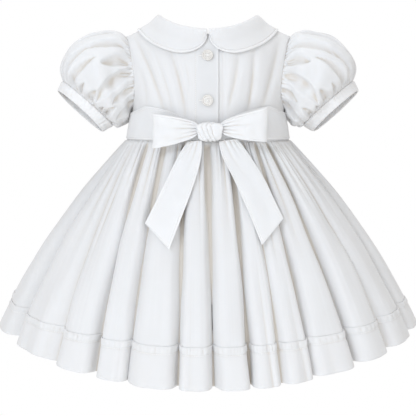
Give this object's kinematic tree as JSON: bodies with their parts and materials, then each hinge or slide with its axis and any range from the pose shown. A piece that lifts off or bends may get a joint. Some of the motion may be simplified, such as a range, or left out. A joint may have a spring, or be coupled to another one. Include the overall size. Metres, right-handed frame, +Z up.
{
  "type": "toddler dress",
  "caption": "Short-sleeved dress for a toddler, filled out as worn: round collar, puff sleeves, buttoned back, sash tied in a bow and full gathered skirt with a deep hem.",
  "frame": {"origin": "middle of the neck opening at the height of the neck points, where the wearer's shoulders carry the dress", "axes": "+Z up; the buttoned back faces -Y, the plain front faces +Y, and the wearer's right is +X"},
  "size_m": [0.545, 0.4022, 0.4321],
  "materials": {
    "bodice_cotton": "soft white slub cotton, matt",
    "collar_cotton": "pressed white cotton, matt",
    "sleeve_cotton": "gathered white cotton, matt",
    "band_cotton": "pressed white cotton, matt",
    "sash_cotton": "soft white cotton, matt",
    "skirt_cotton": "gathered white cotton, matt",
    "hem_cotton": "double white cotton, matt",
    "pearl_button": "pearly white, satin gloss"
  },
  "bodies": {
    "root": {"bodice_front": "bodice_cotton", "bodice_back_left": "bodice_cotton", "bodice_back_right": "bodice_cotton", "collar_left": "collar_cotton", "collar_right": "collar_cotton", "sleeve_left": "sleeve_cotton", "sleeve_right": "sleeve_cotton", "cuff_left": "band_cotton", "cuff_right": "band_cotton", "sash_left": "sash_cotton", "sash_right": "sash_cotton", "bow_loop_left": "sash_cotton", "bow_loop_right": "sash_cotton", "bow_knot": "sash_cotton", "bow_tail_left": "sash_cotton", "bow_tail_right": "sash_cotton", "skirt_back": "skirt_cotton", "skirt_front": "skirt_cotton", "hem_back": "hem_cotton", "hem_front": "hem_cotton", "button_upper": "pearl_button", "button_lower": "pearl_button"}
  },
  "joints": []
}
